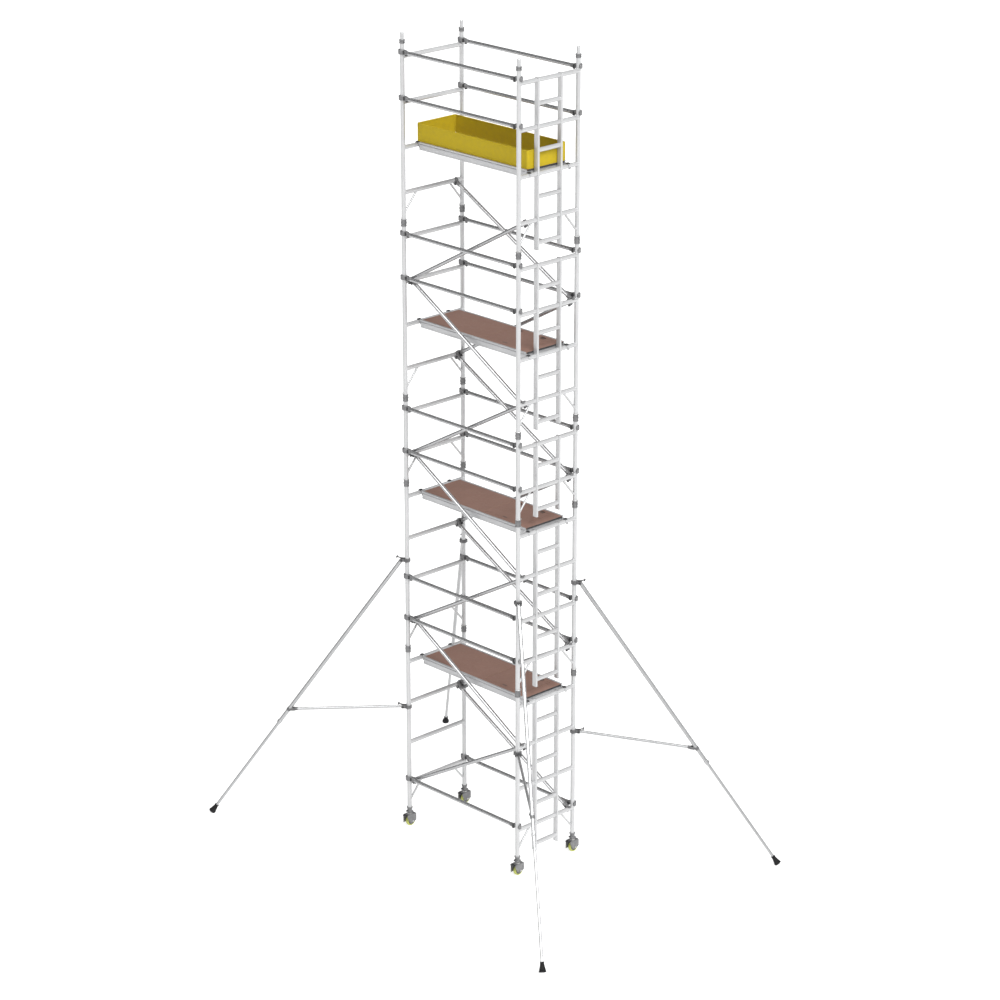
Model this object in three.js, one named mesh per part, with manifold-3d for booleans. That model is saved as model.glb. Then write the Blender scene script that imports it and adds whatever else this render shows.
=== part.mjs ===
// A mobile aluminium tower scaffold: five lifts of tube frames, clip-on braces, four decks with
// trapdoors, toe boards, four braked castors and four telescopic stabilisers.
// Millimetres, +Z up. X runs along the decks, from the span frames (-X) to the ladder frames (+X).
// The origin is on the floor, at the centre of the tower.
import * as THREE from 'three';
import { mergeVertices } from 'three/addons/utils/BufferGeometryUtils.js';
import Module from 'manifold-3d';

const wasm = await Module();
wasm.setup();

// ---- Driving dimensions ----
const BAY_LENGTH = 1786;            // between post centres, along X
const BAY_WIDTH = 870;              // between post centres, along Y
const FRAME_BASE = 215;             // underside of the lowest posts above the floor
const LIFTS = [2000, 2000, 1000, 2000, 2000];
const RUNG_PITCH = 500;
const FIRST_RUNG = 335;             // lowest rung above its own frame's underside
const GAP = 0.4;                    // left between touching pieces
const DECK_RUNGS = [3, 7, 11, 15];
const GUARD_RUNGS = [5, 9, 13, 16, 17];

const POST_RADIUS = 25.4;
const RUNG_RADIUS = 24.5;
const KNEE = { radius: 12, reach: 200, drop: 240 };
const COLLAR = { radius: 30, height: 37 };
const SPIGOT = { radius: 21, length: 100, bore: 22.6, boreDepth: 105 };
const STILE = { y: 170, thickX: 60, thickY: 25, topOverRung: 25, footClearance: 8 };
const LADDER_PITCH = 250;

const BRACE_RADIUS = 21;
const CLAW = { inner: 27.6, outer: 42, bottom: 25, height: 52, tubeAbove: 44, mouth: 120 };
const HOOK = { inner: 26.1, outer: 36.5, width: 37.6, lowY: 373, highY: 331 };

const DECK = {
  x0: -785, x1: 862, beamEnd: 850, width: 600, top: 55, beamWidth: 28, beamHeight: 83,
  plyThick: 12, crossHeight: 40, crossWidth: 25, spanHookY: 220, ladderHookY: 286,
};
const HATCH = { x0: 140, x1: 740, halfWidth: 218, lidThick: 10, clearance: 3 };
const LID_HINGE = { radius: 5, lift: 5.6, inset: 2.5, length: 60, fromEdge: 90 };
const TOE = { length: 1710, width: 570, centreY: 15, height: 200, thick: 12, corner: 24 };

const LEG = { radius: 19, bore: 22.6, boreDepth: 480, stemTop: 450, nutRadius: 30, nutBase: 168 };
const CASTOR = { width: 80, length: 134, bottom: 45, top: 150, cheek: 6, axle: 6, wheelY: 12 };
const KINGPIN = { radius: 8, hole: 9.6, foot: 138 };
const WHEEL = { radius: 62.5, width: 42, bore: 7.6, sides: 12 };
const PEDAL = { pivotY: -56, pivotZ: 146, thick: 8, reach: 28, heel: 2, pin: 3.5, pinHole: 4.2 };

// A stabiliser lies in one upright plane through its post. `bearing` is that plane's angle to X,
// and reach is measured outwards from the post's centre line.
const STABILISER = {
  bearing: 37.6, legReach: 64, upperClamp: 3078, lowerClamp: 1282,
  tube: 22, bore: 18, slider: 16.5, tubeEnd: 0.64, boreEnd: 0.39, sliderStart: 0.40,
  strutAt: 0.585, strut: 16,
};
const FOOT = { reach: 2343, soleHeight: 16, topRadius: 20, soleRadius: 40, length: 105 };
const CLAMP = { inner: 27.8, outer: 38, height: 44, sides: 8 };

const HALF_LENGTH = BAY_LENGTH / 2;
const HALF_WIDTH = BAY_WIDTH / 2;
const CORNERS = [
  { name: 'span_near', x: -1, y: -1 },
  { name: 'span_far', x: -1, y: 1 },
  { name: 'ladder_near', x: 1, y: -1 },
  { name: 'ladder_far', x: 1, y: 1 },
];
const rungHeight = (rung) => FRAME_BASE + FIRST_RUNG + rung * RUNG_PITCH;

// ---- Materials ----
const finish = (color, roughness, metalness) =>
  new THREE.MeshStandardMaterial({ color, roughness, metalness });
const ALUMINIUM = finish(0xd9dadc, 0.35, 0.9);
const BRACE_ALLOY = finish(0xb4b6b9, 0.4, 0.9);
const DECK_BROWN = finish(0x87675a, 0.8, 0.0);
const TOE_YELLOW = finish(0xc7ab2c, 0.55, 0.0);
const CAST_GREY = finish(0x808084, 0.5, 0.3);
const TYRE_GREEN = finish(0xb5bd55, 0.6, 0.0);
const BLACK = finish(0x1c1c1e, 0.7, 0.0);
const LEG_ALLOY = finish(0xcfd0d3, 0.35, 0.9);

// ---- Solids: three.js geometry in, boolean joins and cuts through manifold-3d ----
function solid(geometry) {
  const bare = geometry.clone();
  bare.deleteAttribute('normal');
  bare.deleteAttribute('uv');
  const merged = mergeVertices(bare, 1e-3);
  return new wasm.Manifold(new wasm.Mesh({
    numProp: 3,
    vertProperties: new Float32Array(merged.attributes.position.array),
    triVerts: new Uint32Array(merged.index.array),
  }));
}

const join = (pieces) => pieces.reduce((whole, piece) => whole.add(piece));
const cut = (body, tools) => tools.reduce((rest, tool) => rest.subtract(tool), body);

function box(x0, x1, y0, y1, z0, z1) {
  const geometry = new THREE.BoxGeometry(x1 - x0, y1 - y0, z1 - z0);
  geometry.translate((x0 + x1) / 2, (y0 + y1) / 2, (z0 + z1) / 2);
  return solid(geometry);
}

// A straight round bar or cone from one point to another.
function bar(from, to, radius, sides = 6, endRadius = radius) {
  const start = new THREE.Vector3(...from);
  const end = new THREE.Vector3(...to);
  const along = end.clone().sub(start);
  const geometry = new THREE.CylinderGeometry(endRadius, radius, along.length(), sides);
  const turn = new THREE.Quaternion();
  turn.setFromUnitVectors(new THREE.Vector3(0, 1, 0), along.clone().normalize());
  geometry.applyQuaternion(turn);
  geometry.translate(...start.add(end).multiplyScalar(0.5).toArray());
  return solid(geometry);
}

const upright = (x, y, z0, z1, radius, sides = 8) => bar([x, y, z0], [x, y, z1], radius, sides);

// An open jaw around Z: a ring from z0 to z1 with a mouth, which faces away from `facing`.
function jaw(inner, outer, z0, z1, facing, opening) {
  const half = THREE.MathUtils.degToRad(180 - opening / 2);
  const outline = new THREE.Shape();
  outline.absarc(0, 0, outer, facing - half, facing + half, false);
  outline.absarc(0, 0, inner, facing + half, facing - half, true);
  outline.closePath();
  const geometry = new THREE.ExtrudeGeometry(outline, {
    depth: z1 - z0, bevelEnabled: false, curveSegments: 3,
  });
  geometry.translate(0, 0, z0);
  return geometry;
}

// The same jaw around a rung, which runs along Y. `facing` is measured in the XZ plane.
function rungJaw(y0, y1, facing, opening) {
  const geometry = jaw(HOOK.inner, HOOK.outer, -y1, -y0, facing, opening);
  geometry.rotateX(Math.PI / 2);
  return geometry;
}

function mesh(name, body, material) {
  const result = body.getMesh();
  const geometry = new THREE.BufferGeometry();
  geometry.setAttribute('position', new THREE.BufferAttribute(result.vertProperties, 3));
  geometry.setIndex(new THREE.BufferAttribute(result.triVerts, 1));
  geometry.computeVertexNormals();
  const piece = new THREE.Mesh(geometry, material);
  piece.name = name;
  return piece;
}

const tower = new THREE.Group();
function place(name, body, material, position = [0, 0, 0], turnZ = 0) {
  const piece = mesh(name, body, material);
  piece.position.set(...position);
  piece.rotation.z = turnZ;
  tower.add(piece);
}

// ---- End frames ----
// Built in their own frame: posts at y = +-HALF_WIDTH, underside at z = 0.
function endPost(side, height, isBase) {
  const y = side * HALF_WIDTH;
  const top = height - GAP;
  const pieces = [
    upright(0, y, 0, top, POST_RADIUS),
    upright(0, y, height - COLLAR.height, top, COLLAR.radius),
    upright(0, y, height - COLLAR.height, height + SPIGOT.length, SPIGOT.radius),
    bar([0, y - side * KNEE.reach, FIRST_RUNG], [0, y, FIRST_RUNG - KNEE.drop], KNEE.radius, 5),
  ];
  if (!isBase) pieces.push(upright(0, y, 0, COLLAR.height, COLLAR.radius));
  return pieces;
}

function ladderPieces(topRung) {
  const pieces = [];
  const halfX = STILE.thickX / 2;
  const halfY = STILE.thickY / 2;
  for (const y of [-STILE.y, STILE.y]) {
    const stileTop = topRung + STILE.topOverRung;
    pieces.push(box(-halfX, halfX, y - halfY, y + halfY, STILE.footClearance, stileTop));
  }
  for (let z = FIRST_RUNG - LADDER_PITCH; z < topRung; z += 2 * LADDER_PITCH) {
    pieces.push(bar([0, -STILE.y, z], [0, STILE.y, z], RUNG_RADIUS));
  }
  return pieces;
}

function endFrame(height, isBase, isLadder) {
  const pieces = [...endPost(-1, height, isBase), ...endPost(1, height, isBase)];
  const rungs = height / RUNG_PITCH;
  for (let rung = 0; rung < rungs; rung += 1) {
    const z = FIRST_RUNG + rung * RUNG_PITCH;
    pieces.push(bar([0, -HALF_WIDTH, z], [0, HALF_WIDTH, z], RUNG_RADIUS));
  }
  if (isLadder) pieces.push(...ladderPieces(FIRST_RUNG + (rungs - 1) * RUNG_PITCH));
  const [radius, depth] = isBase ? [LEG.bore, LEG.boreDepth] : [SPIGOT.bore, SPIGOT.boreDepth];
  const bores = [-1, 1].map((side) => upright(0, side * HALF_WIDTH, -1, depth, radius));
  return cut(join(pieces), bores);
}

function addFrames() {
  let base = FRAME_BASE;
  LIFTS.forEach((height, lift) => {
    const isBase = lift === 0;
    place(`span_frame_${lift + 1}`, endFrame(height, isBase, false), ALUMINIUM,
      [-HALF_LENGTH, 0, base]);
    place(`ladder_frame_${lift + 1}`, endFrame(height, isBase, true), ALUMINIUM,
      [HALF_LENGTH, 0, base]);
    base += height;
  });
}

// ---- Clip-on braces ----
// A level brace between the two posts of one side. Its jaws pass round the posts on opposite
// sides, so that one opens towards -Y and the other towards +Y.
function levelBrace(side, rung) {
  const y = side * HALF_WIDTH;
  const z = rungHeight(rung) + CLAW.tubeAbove;
  const low = rungHeight(rung) + CLAW.bottom;
  const tubeEnd = HALF_LENGTH - CLAW.outer + 4;
  const pieces = [bar([-tubeEnd, y, z], [tubeEnd, y, z], BRACE_RADIUS)];
  for (const end of [-1, 1]) {
    const facing = end * Math.PI / 2;
    const claw = jaw(CLAW.inner, CLAW.outer, 0, CLAW.height, facing, CLAW.mouth);
    claw.translate(end * HALF_LENGTH, y, low);
    pieces.push(solid(claw));
  }
  return join(pieces);
}

// The lug between a level brace's jaw and the diagonal's hook on the rung just below it.
function braceLug(side, end, rung) {
  const z = rungHeight(rung);
  const x = end * (HALF_LENGTH - CLAW.outer + 4);
  const [near, far] = [HOOK.lowY + 6, HALF_WIDTH - 12];
  const [y0, y1] = side > 0 ? [near, far] : [-far, -near];
  return box(x - 6, x + 6, y0, y1, z + CLAW.bottom + 1, z + CLAW.bottom + 25);
}

// A sloping brace that rises two rungs from one end frame to the other. Each end hooks over a rung,
// and the upper hook sits farther in, so that the next brace's lower hook fits beside it.
function diagonalBrace(side, startEnd, rung) {
  const from = new THREE.Vector3(startEnd * HALF_LENGTH, side * HOOK.lowY, rungHeight(rung));
  const to = new THREE.Vector3(-startEnd * HALF_LENGTH, side * HOOK.highY, rungHeight(rung + 2));
  const along = to.clone().sub(from).normalize().multiplyScalar(HOOK.outer - 4);
  const tubeFrom = from.clone().add(along);
  const tubeTo = to.clone().sub(along);
  const pieces = [bar(tubeFrom.toArray(), tubeTo.toArray(), BRACE_RADIUS)];
  for (const [centre, towards] of [[from, along], [to, along.clone().negate()]]) {
    const facing = Math.atan2(towards.z, towards.x);
    const hook = rungJaw(-HOOK.width / 2, HOOK.width / 2, facing, 140);
    hook.translate(centre.x, centre.y, centre.z);
    pieces.push(solid(hook));
  }
  return join(pieces);
}

// Two hooks that sit side by side on one rung are joined by a short bridge over it.
function hookBridge(side, end, rung) {
  const x = end * (HALF_LENGTH - HOOK.outer + 5.5);
  const middle = side * (HOOK.lowY + HOOK.highY) / 2;
  const z = rungHeight(rung);
  return box(x - 4, x + 4, middle - 8, middle + 8, z - 8, z + 8);
}

// Each side's zigzag starts at the span end on the near side and at the ladder end on the far side.
function braceSet(side, firstRung, diagonals) {
  const startEnd = side;
  const pieces = [];
  for (let step = 0; step < diagonals; step += 1) {
    const rung = firstRung + 2 * step;
    const end = startEnd * (step % 2 === 0 ? 1 : -1);
    pieces.push(diagonalBrace(side, end, rung));
    if (step > 0) pieces.push(hookBridge(side, end, rung));
    if (step % 2 === 0) pieces.push(levelBrace(side, rung), braceLug(side, end, rung));
  }
  return join(pieces);
}

function addBraces() {
  for (const [sideName, side] of [['near', -1], ['far', 1]]) {
    place(`brace_set_${sideName}_lower`, braceSet(side, 0, 2), BRACE_ALLOY);
    place(`brace_set_${sideName}_middle`, braceSet(side, 4, 2), BRACE_ALLOY);
    place(`brace_set_${sideName}_upper`, braceSet(side, 8, 3), BRACE_ALLOY);
    for (const rung of GUARD_RUNGS) {
      place(`level_brace_${sideName}_${rung}`, levelBrace(side, rung), BRACE_ALLOY);
    }
  }
}

// ---- Decks, with z = 0 at the centre of the rungs that carry them ----
function deck() {
  const { x0, x1, beamEnd, top, crossWidth } = DECK;
  const halfWidth = DECK.width / 2;
  const beamInside = halfWidth - DECK.beamWidth;
  const underPly = top - DECK.plyThick;
  const pieces = [box(x0, x1, -beamInside - 2, beamInside + 2, underPly, top - 0.5)];
  for (const side of [-1, 1]) {
    const [y0, y1] = side > 0 ? [beamInside, halfWidth] : [-halfWidth, -beamInside];
    pieces.push(box(x0, beamEnd, y0, y1, top - DECK.beamHeight, top));
    pieces.push(...deckHook(-1, x0 + 10, side * DECK.spanHookY));
    pieces.push(...deckHook(1, beamEnd - 20, side * DECK.ladderHookY));
  }
  const half = crossWidth / 2;
  const crossings = [x0 + half, -340, HATCH.x0 - half - 2, HATCH.x1 + half + 2, beamEnd - half];
  for (const x of crossings) {
    const z0 = underPly - DECK.crossHeight;
    pieces.push(box(x - half, x + half, -beamInside - 2, beamInside + 2, z0, underPly + 1));
  }
  const hole = box(HATCH.x0, HATCH.x1, -HATCH.halfWidth, HATCH.halfWidth, 0, top + 10);
  return cut(join(pieces), [hole]);
}

// A jaw over one end's rung, and the arm that carries it from x = root.
function deckHook(end, root, y) {
  const half = DECK.beamWidth / 2;
  const tip = end * (HALF_LENGTH - HOOK.outer + 6);
  const claw = rungJaw(y - half, y + half, Math.PI / 2, 170);
  claw.translate(end * HALF_LENGTH, 0, 0);
  const arm = box(Math.min(root, tip), Math.max(root, tip), y - half, y + half, -6, 32);
  return [arm, solid(claw)];
}

// The lid lies flush in its opening and turns on knuckles along its far edge.
function trapdoor() {
  const { x0, x1, halfWidth, lidThick, clearance } = HATCH;
  const y = halfWidth - clearance;
  const axisY = y - LID_HINGE.inset;
  const axisZ = DECK.top + LID_HINGE.lift;
  const pieces = [
    box(x0 + clearance, x1 - clearance, -y, y, DECK.top - lidThick, DECK.top - 0.5),
  ];
  for (const start of [x0 + LID_HINGE.fromEdge, x1 - LID_HINGE.fromEdge - LID_HINGE.length]) {
    const end = start + LID_HINGE.length;
    pieces.push(bar([start, axisY, axisZ], [end, axisY, axisZ], LID_HINGE.radius));
    pieces.push(box(start, end, axisY - 24, axisY, DECK.top - 2, DECK.top + 3));
  }
  return join(pieces);
}

function roundedRectangle(shape, halfX, halfY, radius) {
  shape.absarc(halfX - radius, halfY - radius, radius, 0, Math.PI / 2, false);
  shape.absarc(radius - halfX, halfY - radius, radius, Math.PI / 2, Math.PI, false);
  shape.absarc(radius - halfX, radius - halfY, radius, Math.PI, 1.5 * Math.PI, false);
  shape.absarc(halfX - radius, radius - halfY, radius, 1.5 * Math.PI, 2 * Math.PI, false);
  shape.closePath();
  return shape;
}

function toeBoards() {
  const { length, width, height, thick, corner } = TOE;
  const outline = roundedRectangle(new THREE.Shape(), length / 2, width / 2, corner);
  const inside = roundedRectangle(
    new THREE.Path(), length / 2 - thick, width / 2 - thick, corner - thick);
  outline.holes.push(inside);
  const geometry = new THREE.ExtrudeGeometry(outline, {
    depth: height, bevelEnabled: false, curveSegments: 2,
  });
  return solid(geometry);
}

function addDecks() {
  DECK_RUNGS.forEach((rung, index) => {
    place(`deck_${index + 1}`, deck(), DECK_BROWN, [0, 0, rungHeight(rung)]);
    place(`trapdoor_${index + 1}`, trapdoor(), DECK_BROWN, [0, 0, rungHeight(rung)]);
  });
  const topDeck = rungHeight(DECK_RUNGS[DECK_RUNGS.length - 1]) + DECK.top;
  place('toe_board_set', toeBoards(), TOE_YELLOW, [0, TOE.centreY, topDeck + GAP]);
}

// ---- Castors, each with its post's centre line at x = y = 0 and the floor at z = 0 ----
function adjustableLeg() {
  const seat = CASTOR.top + GAP;
  return join([
    upright(0, 0, seat, FRAME_BASE + LEG.stemTop, LEG.radius),
    upright(0, 0, seat, seat + 9, LEG.nutRadius + 2),
    upright(0, 0, LEG.nutBase, FRAME_BASE - GAP, LEG.nutRadius),
    upright(0, 0, KINGPIN.foot, seat + 4, KINGPIN.radius, 6),
    bar([0, 4 - LEG.nutRadius, 190], [0, -LEG.nutRadius - 14, 190], 7),
  ]);
}

// Two cheeks, a top plate and a back wall, with the axle through the cheeks.
function castorBody() {
  const { width, length, bottom, top, cheek, axle, wheelY } = CASTOR;
  const [x, y] = [width / 2, length / 2];
  const pieces = [
    box(-x, x, PEDAL.pivotY + 6, y, top - cheek, top),
    box(-x, x, y - cheek, y, bottom + 62, top),
    box(-x, cheek - x, -y, y, bottom, top),
    box(x - cheek, x, -y, y, bottom, top),
    bar([-x + 2, wheelY, WHEEL.radius], [x - 2, wheelY, WHEEL.radius], axle),
  ];
  return cut(join(pieces), [
    upright(0, 0, top - 2 * cheek, top + 1, KINGPIN.hole, 6),
    bar([-x - 1, PEDAL.pivotY, PEDAL.pivotZ - 4], [x + 1, PEDAL.pivotY, PEDAL.pivotZ - 4],
      PEDAL.pinHole),
  ]);
}

// A flat of the tyre rests on the floor, so its corners lie just outside the wheel's radius.
function wheel() {
  const corner = WHEEL.radius / Math.cos(Math.PI / WHEEL.sides);
  const half = WHEEL.width / 2;
  const centre = [CASTOR.wheelY, WHEEL.radius];
  const tyre = new THREE.CylinderGeometry(corner, corner, WHEEL.width, WHEEL.sides);
  tyre.rotateY(Math.PI / WHEEL.sides);
  tyre.rotateZ(Math.PI / 2);
  tyre.translate(0, ...centre);
  const bore = bar([-half - 1, ...centre], [half + 1, ...centre], WHEEL.bore);
  return cut(solid(tyre), [bore]);
}

function brakePedal() {
  const { pivotY, pivotZ, thick, reach, heel, pin } = PEDAL;
  const inside = CASTOR.width / 2 - CASTOR.cheek - GAP;
  const pinEnd = CASTOR.width / 2 - 1;
  const z = pivotZ - thick / 2;
  return join([
    box(-inside, inside, pivotY - reach, pivotY + heel, z, z + thick),
    bar([-pinEnd, pivotY, z], [pinEnd, pivotY, z], pin),
  ]);
}

function addCastors() {
  for (const corner of CORNERS) {
    const at = [corner.x * HALF_LENGTH, corner.y * HALF_WIDTH, 0];
    place(`adjustable_leg_${corner.name}`, adjustableLeg(), CAST_GREY, at);
    place(`castor_body_${corner.name}`, castorBody(), CAST_GREY, at);
    place(`castor_wheel_${corner.name}`, wheel(), TYRE_GREEN, at);
    place(`brake_pedal_${corner.name}`, brakePedal(), BLACK, at);
  }
}

// ---- Stabilisers, each built in the XZ plane with its post's centre line at x = 0 ----
const legTop = new THREE.Vector3(STABILISER.legReach, 0, FRAME_BASE + STABILISER.upperClamp);
const legSole = new THREE.Vector3(FOOT.reach, 0, FOOT.soleHeight);
const alongLeg = (share, extra = 0) => {
  const direction = legSole.clone().sub(legTop);
  const distance = share * direction.length() + extra;
  return legTop.clone().addScaledVector(direction.normalize(), distance).toArray();
};

function clampPieces(z) {
  const { outer, height, sides } = CLAMP;
  const half = height / 2;
  return [
    upright(0, 0, z - half, z + half, outer, sides),
    box(outer - 8, STABILISER.legReach + 14, -10, 10, z - 16, z + 16),
    bar([outer, 0, z + 8], [outer + 78, 0, z + 34], 6, 4),
    bar([outer + 78, -20, z + 34], [outer + 78, 20, z + 34], 8, 4),
  ];
}

function stabiliserArm() {
  const { tube, bore, tubeEnd, boreEnd, strutAt, strut, upperClamp, lowerClamp } = STABILISER;
  const clamps = [FRAME_BASE + upperClamp, FRAME_BASE + lowerClamp];
  const pieces = clamps.flatMap(clampPieces);
  pieces.push(bar(alongLeg(0), alongLeg(tubeEnd), tube));
  pieces.push(bar(alongLeg(tubeEnd, -45), alongLeg(tubeEnd), tube + 3));
  pieces.push(bar(alongLeg(strutAt, -35), alongLeg(strutAt, 35), tube + 5));
  pieces.push(bar([STABILISER.legReach, 0, clamps[1]], alongLeg(strutAt), strut));
  const holes = clamps.map((z) =>
    upright(0, 0, z - CLAMP.height, z + CLAMP.height, CLAMP.inner, CLAMP.sides));
  holes.push(bar(alongLeg(boreEnd), alongLeg(tubeEnd, 1), bore));
  return cut(join(pieces), holes);
}

// The rubber boot stands square to the leg, and the floor takes a flat off its inner edge.
function stabiliserLeg() {
  const slider = bar(alongLeg(STABILISER.sliderStart), alongLeg(1, -20), STABILISER.slider);
  const boot = bar(alongLeg(1, -FOOT.length), alongLeg(1), FOOT.topRadius, 10, FOOT.soleRadius);
  const reach = FOOT.reach;
  const underFloor = box(reach - 200, reach + 200, -100, 100, -100, 0);
  return cut(join([slider, boot]), [underFloor]);
}

function addStabilisers() {
  const bearing = THREE.MathUtils.degToRad(STABILISER.bearing);
  for (const corner of CORNERS) {
    const at = [corner.x * HALF_LENGTH, corner.y * HALF_WIDTH, 0];
    const turn = Math.atan2(corner.y * Math.sin(bearing), corner.x * Math.cos(bearing));
    place(`stabiliser_arm_${corner.name}`, stabiliserArm(), LEG_ALLOY, at, turn);
    place(`stabiliser_leg_${corner.name}`, stabiliserLeg(), LEG_ALLOY, at, turn);
  }
}

addFrames();
addBraces();
addDecks();
addCastors();
addStabilisers();

export default tower;
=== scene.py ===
"""A mobile aluminium tower scaffold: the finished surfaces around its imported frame.

Metres, +Z up. X runs along the decks, from the span frames (-X) to the ladder frames (+X).
"""
import math

import bmesh
import bpy
from mathutils import Matrix, Vector


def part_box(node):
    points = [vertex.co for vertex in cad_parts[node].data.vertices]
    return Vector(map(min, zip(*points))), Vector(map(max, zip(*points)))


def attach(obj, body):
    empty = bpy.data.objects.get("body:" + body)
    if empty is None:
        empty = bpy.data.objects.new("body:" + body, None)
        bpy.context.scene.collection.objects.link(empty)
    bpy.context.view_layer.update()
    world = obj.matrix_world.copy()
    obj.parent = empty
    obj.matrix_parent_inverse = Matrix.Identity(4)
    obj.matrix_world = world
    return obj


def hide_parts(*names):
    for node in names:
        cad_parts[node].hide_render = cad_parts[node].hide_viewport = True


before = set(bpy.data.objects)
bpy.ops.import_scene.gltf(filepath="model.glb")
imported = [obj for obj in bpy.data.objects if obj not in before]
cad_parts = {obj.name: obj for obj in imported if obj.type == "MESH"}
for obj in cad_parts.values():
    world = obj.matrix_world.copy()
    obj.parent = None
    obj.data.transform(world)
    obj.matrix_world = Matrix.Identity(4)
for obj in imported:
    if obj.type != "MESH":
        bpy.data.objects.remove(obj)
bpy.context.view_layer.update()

# ---- Sizes, from the frame where a node's box gives them ----
base_low, base_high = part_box("span_frame_1")
COLLAR_RADIUS = 0.030
HALF_LENGTH = round(-(base_low.x + base_high.x) / 2, 4)
HALF_WIDTH = round(base_high.y - COLLAR_RADIUS, 4)
FRAME_BASE = round(base_low.z, 4)
LIFTS = [2.0, 2.0, 1.0, 2.0, 2.0]
RUNG_PITCH = 0.5
FIRST_RUNG = 0.335
# Rungs are counted from 0, up the whole tower.
DECK_RUNGS = [3, 7, 11, 15]
GUARD_RUNGS = [5, 9, 13, 16, 17]
# Per brace set, the rung it starts from and how many sloping braces it has.
BRACED_RUNGS = {"lower": (0, 2), "middle": (4, 2), "upper": (8, 3)}
CORNERS = {
    "span_near": (-1, -1),
    "span_far": (-1, 1),
    "ladder_near": (1, -1),
    "ladder_far": (1, 1),
}
SIDES = {"near": -1, "far": 1}
ENDS = {"span": -1, "ladder": 1}

POST_RADIUS = 0.0254
POST_BORE = 0.0226
RUNG_RADIUS = 0.0245
SPIGOT_RADIUS = 0.021
SPIGOT_LENGTH = 0.1
SPIGOT_INSIDE = 0.1
TOP_COLLAR_RISE = 0.016
CLIP_RISE = 0.048
KNEE_RADIUS = 0.012
KNEE_REACH = 0.2
KNEE_DROP = 0.24
STILE_Y = 0.17
STILE_SIZE = (0.06, 0.025)
LADDER_PITCH = 0.25
BRACE_RADIUS = 0.021
BRACE_OVER_RUNG = 0.044
LEVEL_TUBE_START = 0.07
SLOPING_TUBE_START = 0.06
CLAW_RISE = 0.0072
LOW_HOOK_Y = 0.373
HIGH_HOOK_Y = 0.331

DECK_TOP = 0.055
DECK_X = (-0.785, 0.862)
BEAM_END = 0.85
DECK_HALF_WIDTH = 0.3
BEAM_WIDTH = 0.028
BEAM_HEIGHT = 0.083
BEAM_INSIDE = DECK_HALF_WIDTH - BEAM_WIDTH
PLY_THICK = 0.012
PLY_END = DECK_X[1] - 0.005
SPAN_HOOK_Y = 0.22
LADDER_HOOK_Y = 0.286
WINDLOCKS_Y = (-0.15, 0.309)
CROSS_BAR_HALF = 0.0125
CROSS_BARS_X = (-0.5, -0.19)
HATCH_X = (0.14, 0.74)
HATCH_HALF_WIDTH = 0.218
LID_GAP = 0.003
HINGE_Y = 0.2125
HINGE_LIFT = 0.0056
HINGE_LENGTH = 0.06
TOE_HALF_LENGTH = 0.855
TOE_HALF_WIDTH = 0.285
TOE_CENTRE_Y = 0.015
TOE_HEIGHT = 0.2
TOE_THICK = 0.012
TOE_CORNER = 0.024

WHEEL_RADIUS = 0.0625
WHEEL_Y = 0.012
PEDAL_Y = -0.056
PEDAL_Z = 0.142
CASTOR_TOP = 0.15
STEM_ABOVE_BASE = 0.45
THREAD_ROOT = 0.0175
THREAD_CREST = 0.019
THREAD_PITCH = 0.006

STABILISER_BEARING = math.radians(37.6)
LEG_TOP = Vector((0.064, 0, FRAME_BASE + 3.078))
LEG_SOLE = Vector((2.343, 0, 0.016))
LOWER_CLAMP = FRAME_BASE + 1.282
UPPER_TUBE_END = 0.64
SLIDER_START = 0.40
STRUT_AT = 0.585

X_AXIS = Vector((1, 0, 0))
Y_AXIS = Vector((0, 1, 0))
Z_AXIS = Vector((0, 0, 1))


def rung_height(rung):
    return FRAME_BASE + FIRST_RUNG + rung * RUNG_PITCH


# ---- Camera, floor and light ----
CAMERA_AZIMUTH = math.radians(46.11)
CAMERA_ELEVATION = math.radians(20.15)
CAMERA_DISTANCE = 37.52
CAMERA_AIM_HEIGHT = 4.135
CAMERA_AIM_SIDE = 0.111
CAMERA_LENS = 122.04
FLOOR_SIZE = 400
LAMP_AIM_HEIGHT = 4.5
LAMP_DISTANCE = 20
# How bright the sky is against its X: a Map Range node's sockets.
SKY_RAMP = {"From Min": -0.62, "From Max": -0.3, "To Min": 0.24, "To Max": 0.72}


def direction_to(azimuth, elevation):
    """The direction from the object to a viewer or lamp, in the frame's azimuth convention."""
    flat = math.cos(elevation)
    return Vector((math.sin(azimuth) * flat, -math.cos(azimuth) * flat, math.sin(elevation)))


def add_camera():
    data = bpy.data.cameras.new("camera")
    data.lens = CAMERA_LENS
    data.sensor_width = 36
    data.clip_start = 1
    data.clip_end = 500
    camera = bpy.data.objects.new("camera", data)
    bpy.context.scene.collection.objects.link(camera)
    back = direction_to(CAMERA_AZIMUTH, CAMERA_ELEVATION)
    right = Vector((math.cos(CAMERA_AZIMUTH), math.sin(CAMERA_AZIMUTH), 0))
    aim = Vector((0, 0, CAMERA_AIM_HEIGHT)) + right * CAMERA_AIM_SIDE
    camera.location = aim + back * CAMERA_DISTANCE
    camera.rotation_mode = "QUATERNION"
    camera.rotation_quaternion = (-back).to_track_quat("-Z", "Y")
    bpy.context.scene.camera = camera


def add_sun(name, azimuth, elevation, energy, spread, only_glints=False):
    """A soft distant light. The angles are in degrees. One that only glints lights no matt skin."""
    data = bpy.data.lights.new(name, "SUN")
    data.energy = energy
    data.angle = math.radians(spread)
    lamp = bpy.data.objects.new(name, data)
    bpy.context.scene.collection.objects.link(lamp)
    towards = direction_to(math.radians(azimuth), math.radians(elevation))
    lamp.location = Vector((0, 0, LAMP_AIM_HEIGHT)) + towards * LAMP_DISTANCE
    lamp.rotation_mode = "QUATERNION"
    lamp.rotation_quaternion = towards.to_track_quat("Z", "Y")
    lamp.visible_diffuse = not only_glints


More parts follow.
